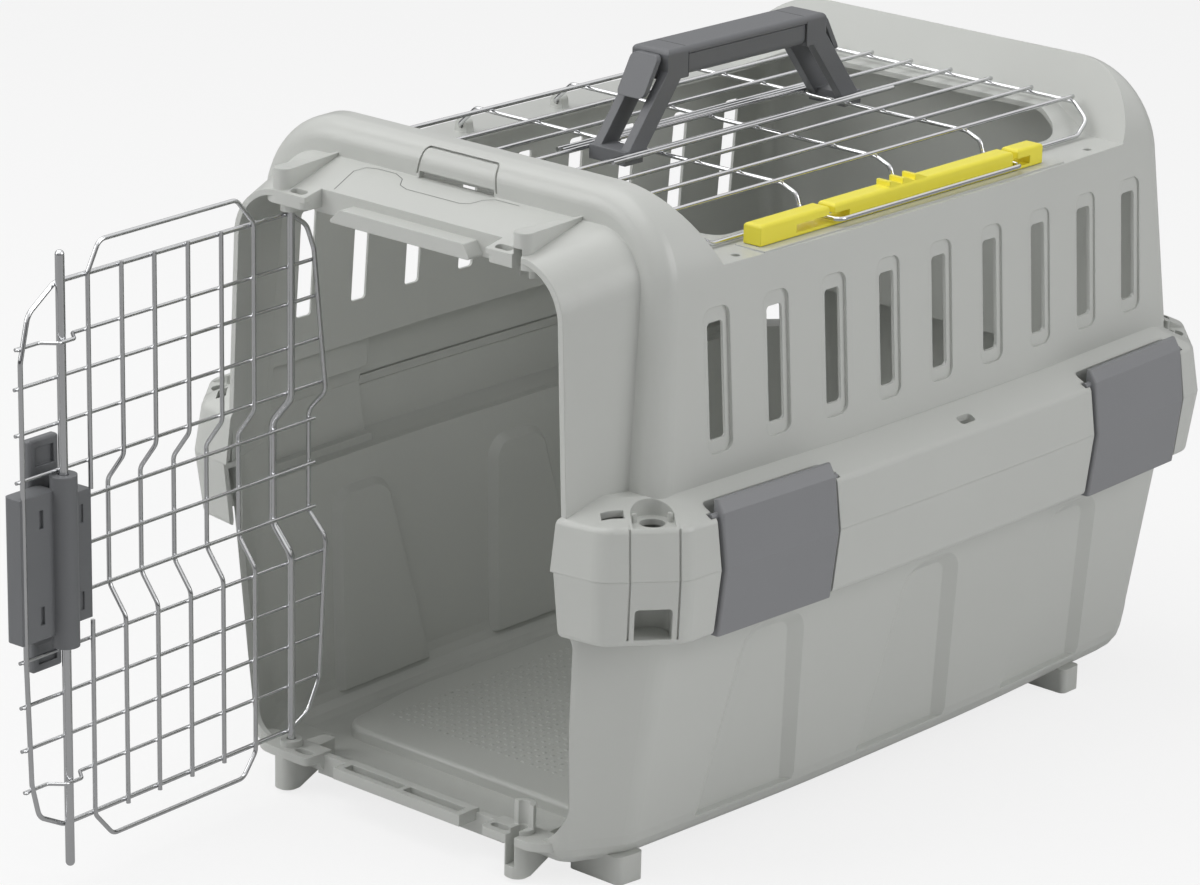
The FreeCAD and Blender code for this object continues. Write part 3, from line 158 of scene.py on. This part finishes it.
def moulded_grain():
    """Fine spark texture and slow drift of a moulded plastic face."""
    name = "Moulded grain"
    if name in bpy.data.node_groups:
        return bpy.data.node_groups[name]
    group, given, out = new_group(
        name,
        [("Grain Scale", "NodeSocketFloat", 900.0), ("Drift Scale", "NodeSocketFloat", 9.0)],
        [("Height", "NodeSocketFloat"), ("Drift", "NodeSocketFloat")])
    links = group.links
    place = group.nodes.new("ShaderNodeTexCoord")
    grain = group.nodes.new("ShaderNodeTexNoise")
    grain.inputs["Detail"].default_value = 3.0
    grain.inputs["Roughness"].default_value = 0.6
    drift = group.nodes.new("ShaderNodeTexNoise")
    drift.inputs["Detail"].default_value = 2.0
    links.new(place.outputs["Object"], grain.inputs["Vector"])
    links.new(place.outputs["Object"], drift.inputs["Vector"])
    links.new(given.outputs["Grain Scale"], grain.inputs["Scale"])
    links.new(given.outputs["Drift Scale"], drift.inputs["Scale"])
    links.new(grain.outputs["Fac"], out.inputs["Height"])
    links.new(drift.outputs["Fac"], out.inputs["Drift"])
    return group


def soft_edge():
    """Rounded normal at a moulded edge and a mask of where the edges are, which the plastics use for their
    painted edge highlight.
    """
    name = "Soft edge"
    if name in bpy.data.node_groups:
        return bpy.data.node_groups[name]
    group, given, out = new_group(
        name,
        [("Radius", "NodeSocketFloat", 0.0007)],
        [("Normal", "NodeSocketVector"), ("Edge", "NodeSocketFloat")])
    links = group.links
    bevel = group.nodes.new("ShaderNodeBevel")
    bevel.samples = 6
    links.new(given.outputs["Radius"], bevel.inputs["Radius"])
    flat = group.nodes.new("ShaderNodeNewGeometry")
    dot = group.nodes.new("ShaderNodeVectorMath")
    dot.operation = "DOT_PRODUCT"
    links.new(bevel.outputs["Normal"], dot.inputs[0])
    links.new(flat.outputs["Normal"], dot.inputs[1])
    mask = group.nodes.new("ShaderNodeMapRange")
    mask.inputs["From Min"].default_value = 0.995
    mask.inputs["From Max"].default_value = 0.8
    links.new(dot.outputs["Value"], mask.inputs["Value"])
    links.new(bevel.outputs["Normal"], out.inputs["Normal"])
    links.new(mask.outputs["Result"], out.inputs["Edge"])
    return group


def put_group(tree, group, **values):
    made = tree.nodes.new("ShaderNodeGroup")
    made.node_tree = group
    for label, value in values.items():
        made.inputs[label.replace("_", " ")].default_value = value
    return made


def mix_colour(tree, amount, first, second):
    """A colour between two, with the share taken from a socket."""
    made = tree.nodes.new("ShaderNodeMix")
    made.data_type = "RGBA"
    tree.links.new(amount, made.inputs["Factor"])
    for place, value in ((6, first), (7, second)):
        if isinstance(value, (tuple, list)):
            made.inputs[place].default_value = value
        else:
            tree.links.new(value, made.inputs[place])
    return made.outputs[2]


def map_value(tree, value, low, high):
    made = tree.nodes.new("ShaderNodeMapRange")
    made.inputs["From Min"].default_value = 0.25
    made.inputs["From Max"].default_value = 0.75
    made.inputs["To Min"].default_value = low
    made.inputs["To Max"].default_value = high
    tree.links.new(value, made.inputs["Value"])
    return made.outputs["Result"]


def shade(base, amount):
    return tuple(min(1.0, channel * amount) for channel in base[:3]) + (1.0,)


def moulded_plastic(name, base, roughness, grain_scale, grain_depth, edge, painted_edge_highlight):
    """Satin moulded plastic with spark grain, slow drift of tone and a painted highlight that makes its
    edges paler.
    """
    material = bpy.data.materials.new(name)
    material.use_nodes = True
    tree = material.node_tree
    shader = tree.nodes["Principled BSDF"]
    grain = put_group(tree, moulded_grain(), Grain_Scale=grain_scale, Drift_Scale=8.0)
    rim = put_group(tree, soft_edge(), Radius=edge)
    tone = mix_colour(tree, grain.outputs["Drift"], shade(base, 0.96), shade(base, 1.04))
    # Painted highlight: the edges are made paler, as if light caught their rounding
    edge_highlighted = mix_colour(tree, rim.outputs["Edge"], tone, shade(base, painted_edge_highlight))
    tree.links.new(edge_highlighted, shader.inputs["Base Color"])
    gloss = map_value(tree, grain.outputs["Drift"], roughness - 0.02, roughness + 0.03)
    tree.links.new(gloss, shader.inputs["Roughness"])
    bump = tree.nodes.new("ShaderNodeBump")
    bump.inputs["Strength"].default_value = 0.35
    bump.inputs["Distance"].default_value = grain_depth
    tree.links.new(grain.outputs["Height"], bump.inputs["Height"])
    tree.links.new(rim.outputs["Normal"], bump.inputs["Normal"])
    tree.links.new(bump.outputs["Normal"], shader.inputs["Normal"])
    shader.inputs["Specular IOR Level"].default_value = 0.5
    material.diffuse_color = base
    return material


def bright_wire(name, base, roughness):
    """Bright plated wire with faint drawing marks and uneven gloss."""
    material = bpy.data.materials.new(name)
    material.use_nodes = True
    tree = material.node_tree
    shader = tree.nodes["Principled BSDF"]
    grain = put_group(tree, moulded_grain(), Grain_Scale=420.0, Drift_Scale=38.0)
    tone = mix_colour(tree, grain.outputs["Drift"], shade(base, 0.9), shade(base, 1.06))
    tree.links.new(tone, shader.inputs["Base Color"])
    gloss = map_value(tree, grain.outputs["Drift"], roughness - 0.05, roughness + 0.08)
    tree.links.new(gloss, shader.inputs["Roughness"])
    bump = tree.nodes.new("ShaderNodeBump")
    bump.inputs["Strength"].default_value = 0.2
    bump.inputs["Distance"].default_value = 0.00006
    tree.links.new(grain.outputs["Height"], bump.inputs["Height"])
    tree.links.new(bump.outputs["Normal"], shader.inputs["Normal"])
    shader.inputs["Metallic"].default_value = 1.0
    material.diffuse_color = base
    return material


MATERIALS = {}


def finish_named(name):
    """One of the carrier's finishes, made once from the colours in the panel."""
    if name in MATERIALS:
        return MATERIALS[name]
    look = bpy.context.scene.carrier_finish
    edge = bpy.context.scene.carrier_sizes.edge_round
    # The last number of each plastic is how much paler its painted edge highlight makes the edges
    if name == "shell":
        made = moulded_plastic(
            "Casing plastic", tuple(look.shell), look.shell_roughness, 1100.0, 0.00007, edge, 1.07)
    elif name == "clip":
        made = moulded_plastic("Clip plastic", tuple(look.clip), 0.46, 1300.0, 0.00009, edge, 1.25)
    elif name == "latch":
        made = moulded_plastic("Latch plastic", tuple(look.latch), 0.42, 1300.0, 0.00008, edge, 1.3)
    elif name == "handle":
        made = moulded_plastic("Handle plastic", tuple(look.handle), 0.45, 1300.0, 0.00009, edge, 1.35)
    elif name == "slider":
        made = moulded_plastic("Lock bar plastic", tuple(look.slider), 0.34, 1500.0, 0.00004, edge, 1.04)
    # Painted shade for the seams and the engraved line, a dark finish where only shadow falls
    elif name == "seam":
        made = moulded_plastic("Seam shadow", tuple(look.seam), 0.6, 1100.0, 0.00004, 0.0001, 1.0)
    elif name == "dark_seam":
        # Painted shade: the seams are the handle's plastic darkened, for the shadow in their gaps
        dark = shade(tuple(look.handle), 0.35)
        made = moulded_plastic("Handle seam shade", dark, 0.6, 1300.0, 0.00004, 0.0001, 1.0)
    elif name == "wire":
        made = bright_wire("Plated wire", tuple(look.wire), look.wire_roughness)
    else:
        raise RuntimeError("no finish is named " + name)
    MATERIALS[name] = made
    return made


# Helpers for pieces
def paint(node_names, finish):
    for node_name in node_names:
        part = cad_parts[node_name]
        if not part.material_slots:
            raise RuntimeError(node_name + " has no material slot")
        for place in part.material_slots:
            place.material = finish_named(finish)


def new_piece(name, form, finish, body):
    mesh = bpy.data.meshes.new(name)
    form.to_mesh(mesh)
    form.free()
    mesh.materials.append(finish_named(finish))
    piece = bpy.data.objects.new(name, mesh)
    bpy.context.scene.collection.objects.link(piece)
    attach(piece, body)
    return piece


def door_point(along, out, level):
    """A point of the door, given along the shut door from its hinge, inward of it and above the floor."""
    turn = Matrix.Rotation(DOOR_ANGLE, 4, "Z")
    return DOOR_HINGE + turn @ Vector((along, out, level))


def add_bead(form, place, along, half_length, half_width):
    """A weld bead: a small drawn-out blob that bridges two crossing wires."""
    turn = along.to_track_quat("X", "Z").to_matrix().to_4x4()
    size = Matrix.Diagonal((half_length, half_width, half_width, 1.0))
    made = bmesh.ops.create_uvsphere(form, u_segments=10, v_segments=6, radius=1.0)
    bmesh.ops.transform(form, matrix=Matrix.Translation(place) @ turn @ size, verts=made["verts"])


def add_strip(form, points, width):
    """A flat strip that follows points on a face, with mitred turns."""
    rows = []
    for place, point in enumerate(points):
        before = points[max(place - 1, 0)]
        after = points[min(place + 1, len(points) - 1)]
        ahead = after - before
        aside = Vector((-ahead.y, ahead.x, 0.0)).normalized() * (width / 2)
        rows.append((form.verts.new(point - aside), form.verts.new(point + aside)))
    for first, second in zip(rows, rows[1:]):
        form.faces.new((first[0], second[0], second[1], first[1]))


def add_block(form, low, high):
    made = bmesh.ops.create_cube(form, size=1.0)
    size = Matrix.Diagonal((high[0] - low[0], high[1] - low[1], high[2] - low[2], 1.0))
    middle = (Vector(low) + Vector(high)) / 2
    bmesh.ops.transform(form, matrix=Matrix.Translation(middle) @ size, verts=made["verts"])


def smooth(piece):
    for face in piece.data.polygons:
        face.use_smooth = True


# Operators for the pieces
class CARRIER_OT_shells(bpy.types.Operator):
    """Give both shells their moulded plastic"""
    bl_idname = "carrier.shells"
    bl_label = "Shells"

    def execute(self, context):
        paint(("lower_shell", "upper_shell"), "shell")
        return {"FINISHED"}


class CARRIER_OT_floor_tread(bpy.types.Operator):
    """Put the field of low studs on the raised floor"""
    bl_idname = "carrier.floor_tread"
    bl_label = "Floor tread"

    def execute(self, context):
        sizes = context.scene.carrier_sizes
        form = bmesh.new()
        pitch, half, top = sizes.tread_pitch, sizes.tread_width / 2, sizes.tread_height
        rows = int(FLOOR_LENGTH / pitch)
        columns = int(FLOOR_WIDTH / pitch)
        for row in range(rows):
            y = FLOOR_FRONT + row * pitch
            for column in range(columns):
                x = (column - (columns - 1) / 2) * pitch
                low, high = [], []
                for a, b in STUD_CORNERS:
                    low.append(form.verts.new((x + a * half, y + b * half, FLOOR_LEVEL - STUD_ROOT)))
                for a, b in STUD_CORNERS:
                    place = (x + a * half * STUD_TAPER, y + b * half * STUD_TAPER, FLOOR_LEVEL + top)
                    high.append(form.verts.new(place))
                form.faces.new(high)
                for side in range(4):
                    other = (side + 1) % 4
                    form.faces.new((low[side], low[other], high[other], high[side]))
        new_piece("floor_tread", form, "shell", "shell")
        return {"FINISHED"}


class CARRIER_OT_shelf_line(bpy.types.Operator):
    """Lay a thin dark strip of painted shade along the line engraved in the shelf above the door"""
    bl_idname = "carrier.shelf_line"
    bl_label = "Shelf line"

    def execute(self, context):
        form = bmesh.new()
        points = []
        for x, y in SHELF_LINE:
            z = SHELF_LEVEL + (y - SHELF_FRONT) / SHELF_DEPTH * SHELF_RISE + LINE_LIFT
            points.append(Vector((x, y, z)))
        # The strip carries painted shade where the engraved groove would be shadowed
        add_strip(form, points, context.scene.carrier_sizes.line_width)
        new_piece("shelf_line", form, "seam", "shell")
        return {"FINISHED"}


class CARRIER_OT_clips(bpy.types.Operator):
    """Give the four side clips their grey plastic"""
    bl_idname = "carrier.clips"
    bl_label = "Side clips"

    def execute(self, context):
        paint([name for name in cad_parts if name.startswith("clip_")], "clip")
        return {"FINISHED"}


class CARRIER_OT_door(bpy.types.Operator):
    """Plate the door's wires and add the weld beads where they cross"""
    bl_idname = "carrier.door"
    bl_label = "Wire door"

    def execute(self, context):
        sizes = context.scene.carrier_sizes
        paint([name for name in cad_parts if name.startswith("door_")], "wire")
        form = bmesh.new()
        across = door_point(1.0, 0.0, 0.0) - door_point(0.0, 0.0, 0.0)
        for level in CROSS_LEVELS:
            for along in UPRIGHTS + (DOOR_RIM,):
                place = door_point(along, WELD_DEPTH, level)
                add_bead(form, place, across, sizes.bead_length, sizes.bead_width)
        for level in MIDDLE_LEVELS:
            for along in UPRIGHTS[1:]:
                place = door_point(along, MIDDLE_WELD_DEPTH, level)
                add_bead(form, place, across, sizes.bead_length, sizes.bead_width)
        smooth(new_piece("door_welds", form, "wire", "door"))
        return {"FINISHED"}


class CARRIER_OT_latch(bpy.types.Operator):
    """Give the squeeze latch its plastic and its lock rods their plating"""
    bl_idname = "carrier.latch"
    bl_label = "Door latch"

    def execute(self, context):
        paint(("latch_housing", "latch_tab_upper", "latch_tab_lower"), "latch")
        paint(("lock_rod_upper", "lock_rod_lower"), "wire")
        return {"FINISHED"}


class CARRIER_OT_hatch(bpy.types.Operator):
    """Plate the hatch's wires and add the weld beads where they cross"""
    bl_idname = "carrier.hatch"
    bl_label = "Roof hatch"

    def execute(self, context):
        sizes = context.scene.carrier_sizes
        wires = [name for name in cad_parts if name.startswith("hatch_") and name != "hatch_slider"]
        paint(wires, "wire")
        form = bmesh.new()
        along = Vector((0, 1, 0))
        for y in HATCH_RIBS + HATCH_ENDS:
            for x in HATCH_ROWS:
                place = Vector((x, y, HATCH_WELD_LEVEL))
                add_bead(form, place, along, sizes.bead_length, sizes.bead_width)
        smooth(new_piece("hatch_welds", form, "wire", "hatch"))
        return {"FINISHED"}


class CARRIER_OT_handle(bpy.types.Operator):
    """Give the carrying handle its dark plastic and strips of painted shade along the seams round its grip
    """
    bl_idname = "carrier.handle"
    bl_label = "Carrying handle"

    def execute(self, context):
        paint([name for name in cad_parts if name.startswith("handle_")], "handle")
        form = bmesh.new()
        left, right = SEAM_TOP_SPAN
        under, over = SEAM_TOP_LEVELS
        low, high = SEAM_SIDE_LEVELS
        for y in SEAM_PLACES:
            add_block(form, (left, y, under), (right, y + SEAM_WIDTH, over))
            for x in SEAM_SIDES:
                add_block(form, (x, y, low), (x + SEAM_SIDE_THICKNESS, y + SEAM_WIDTH, high))
        new_piece("handle_seams", form, "dark_seam", "hatch")
        return {"FINISHED"}


class CARRIER_OT_lock_bar(bpy.types.Operator):
    """Give the sliding lock bar its yellow plastic"""
    bl_idname = "carrier.lock_bar"
    bl_label = "Sliding lock bar"

    def execute(self, context):
        paint(("hatch_slider",), "slider")
        return {"FINISHED"}


# The stage
def studio_floor(size):
    """A pale floor, near white to the camera, that keeps the shadow and looks darker in the wires."""
    form = bmesh.new()
    bmesh.ops.create_grid(form, x_segments=1, y_segments=1, size=size / 2)
    mesh = bpy.data.meshes.new("studio_floor")
    form.to_mesh(mesh)
    form.free()
    material = bpy.data.materials.new("Studio floor")
    material.use_nodes = True
    tree = material.node_tree
    shader = tree.nodes["Principled BSDF"]
    shader.inputs["Base Color"].default_value = (0.86, 0.86, 0.86, 1.0)
    shader.inputs["Roughness"].default_value = 0.9
    shader.inputs["Specular IOR Level"].default_value = 0.0
    glow = tree.nodes.new("ShaderNodeEmission")
    glow.inputs["Color"].default_value = (1.0, 1.0, 1.0, 1.0)
    ray = tree.nodes.new("ShaderNodeLightPath")
    shine = tree.nodes.new("ShaderNodeMapRange")
    shine.inputs["To Min"].default_value = 0.34
    tree.links.new(ray.outputs["Is Camera Ray"], shine.inputs["Value"])
    tree.links.new(shine.outputs["Result"], glow.inputs["Strength"])
    seen = tree.nodes.new("ShaderNodeMath")
    seen.operation = "MAXIMUM"
    tree.links.new(ray.outputs["Is Camera Ray"], seen.inputs[0])
    tree.links.new(ray.outputs["Is Glossy Ray"], seen.inputs[1])
    share = tree.nodes.new("ShaderNodeMath")
    share.operation = "MULTIPLY"
    share.inputs[1].default_value = 0.8
    tree.links.new(seen.outputs["Value"], share.inputs[0])
    mix = tree.nodes.new("ShaderNodeMixShader")
    tree.links.new(share.outputs["Value"], mix.inputs["Fac"])
    tree.links.new(shader.outputs["BSDF"], mix.inputs[1])
    tree.links.new(glow.outputs["Emission"], mix.inputs[2])
    tree.links.new(mix.outputs["Shader"], tree.nodes["Material Output"].inputs["Surface"])
    mesh.materials.append(material)
    floor = bpy.data.objects.new("studio_floor", mesh)
    bpy.context.scene.collection.objects.link(floor)
    floor.location.z = -0.0004


def softbox(name, place, aim, wide, tall, power):
    lamp = bpy.data.lights.new(name, "AREA")
    lamp.shape = "RECTANGLE"
    lamp.size = wide
    lamp.size_y = tall
    lamp.energy = power
    box = bpy.data.objects.new(name, lamp)
    box.location = place
    box.rotation_euler = (Vector(aim) - Vector(place)).to_track_quat("-Z", "Y").to_euler()
    bpy.context.scene.collection.objects.link(box)


def studio_world(ambient):
    """Soft light from all round, with a darker band low down that gives the wires their contrast."""
    world = bpy.data.worlds.new("Studio")
    bpy.context.scene.world = world
    world.use_nodes = True
    tree = world.node_tree
    soft = tree.nodes["Background"]
    soft.inputs["Color"].default_value = (1.0, 1.0, 1.0, 1.0)
    soft.inputs["Strength"].default_value = ambient
    white = tree.nodes.new("ShaderNodeBackground")
    white.inputs["Strength"].default_value = 1.0
    place = tree.nodes.new("ShaderNodeTexCoord")
    split = tree.nodes.new("ShaderNodeSeparateXYZ")
    tree.links.new(place.outputs["Generated"], split.inputs["Vector"])
    band = tree.nodes.new("ShaderNodeValToRGB")
    band.color_ramp.elements[0].position = 0.06
    band.color_ramp.elements[0].color = (0.06, 0.06, 0.065, 1.0)
    band.color_ramp.elements[1].position = 0.55
    band.color_ramp.elements[1].color = (1.0, 1.0, 1.0, 1.0)
    tree.links.new(split.outputs["Z"], band.inputs["Fac"])
    ray = tree.nodes.new("ShaderNodeLightPath")
    mirror = tree.nodes.new("ShaderNodeBackground")
    tree.links.new(band.outputs["Color"], mirror.inputs["Color"])
    mirror.inputs["Strength"].default_value = 1.0
    first = tree.nodes.new("ShaderNodeMixShader")
    tree.links.new(ray.outputs["Is Glossy Ray"], first.inputs["Fac"])
    tree.links.new(soft.outputs["Background"], first.inputs[1])
    tree.links.new(mirror.outputs["Background"], first.inputs[2])
    second = tree.nodes.new("ShaderNodeMixShader")
    tree.links.new(ray.outputs["Is Camera Ray"], second.inputs["Fac"])
    tree.links.new(first.outputs["Shader"], second.inputs[1])
    tree.links.new(white.outputs["Background"], second.inputs[2])
    tree.links.new(second.outputs["Shader"], tree.nodes["World Output"].inputs["Surface"])


def photo_camera():
    lens = bpy.data.cameras.new("Camera")
    lens.sensor_fit = "HORIZONTAL"
    lens.sensor_width = 36.0
    lens.lens = CAMERA_LENS
    lens.clip_end = 60.0
    eye = bpy.data.objects.new("Camera", lens)
    bpy.context.scene.collection.objects.link(eye)
    right = CAMERA_RIGHT.normalized()
    back = right.cross(CAMERA_UP).normalized()
    up = back.cross(right)
    turn = Matrix((right, up, back)).transposed().to_4x4()
    eye.matrix_world = Matrix.Translation(CAMERA_PLACE) @ turn
    bpy.context.scene.camera = eye


class CARRIER_OT_stage(bpy.types.Operator):
    """Set the floor, the soft light and the camera"""
    bl_idname = "carrier.stage"
    bl_label = "Stage"

    def execute(self, context):
        stage = context.scene.carrier_stage
        context.scene.view_settings.view_transform = "Standard"
        studio_floor(stage.floor_size)
        studio_world(stage.ambient)
        softbox("overhead", (-0.5, -0.5, 2.4), (0.0, 0.0, 0.2), 2.4, 2.0, stage.key_power)
        softbox("front", (-1.5, -2.1, 1.3), (0.0, -0.1, 0.2), 1.6, 1.4, stage.fill_power)
        softbox("side", (2.2, 0.8, 1.3), (0.0, 0.0, 0.2), 1.4, 1.4, stage.side_power)
        photo_camera()
        return {"FINISHED"}


class CARRIER_PT_panel(bpy.types.Panel):
    """Lists the carrier's pieces and their sizes and colours"""
    bl_idname = "CARRIER_PT_panel"
    bl_label = "Pet carrier"
    bl_space_type = "VIEW_3D"
    bl_region_type = "UI"
    bl_category = "Carrier"

    def draw(self, context):
        for name in ("carrier_finish", "carrier_sizes", "carrier_stage"):
            group = getattr(context.scene, name)
            box = self.layout.box()
            for key in group.__annotations__:
                box.prop(group, key)
        for step in STEPS:
            self.layout.operator(step.bl_idname)


GROUPS = (CarrierFinish, CarrierSizes, CarrierStage)
STEPS = (
    CARRIER_OT_shells, CARRIER_OT_floor_tread, CARRIER_OT_shelf_line, CARRIER_OT_clips, CARRIER_OT_door,
    CARRIER_OT_latch, CARRIER_OT_hatch, CARRIER_OT_handle, CARRIER_OT_lock_bar, CARRIER_OT_stage)
CLASSES = GROUPS + STEPS + (CARRIER_PT_panel,)


def register():
    for kind in CLASSES:
        bpy.utils.register_class(kind)
    bpy.types.Scene.carrier_finish = PointerProperty(type=CarrierFinish)
    bpy.types.Scene.carrier_sizes = PointerProperty(type=CarrierSizes)
    bpy.types.Scene.carrier_stage = PointerProperty(type=CarrierStage)


def unregister():
    del bpy.types.Scene.carrier_stage
    del bpy.types.Scene.carrier_sizes
    del bpy.types.Scene.carrier_finish
    for kind in reversed(CLASSES):
        bpy.utils.unregister_class(kind)


def main():
    register()
    for step in STEPS:
        module, name = step.bl_idname.split(".")
        getattr(getattr(bpy.ops, module), name)()


if __name__ == "__main__":
    main()
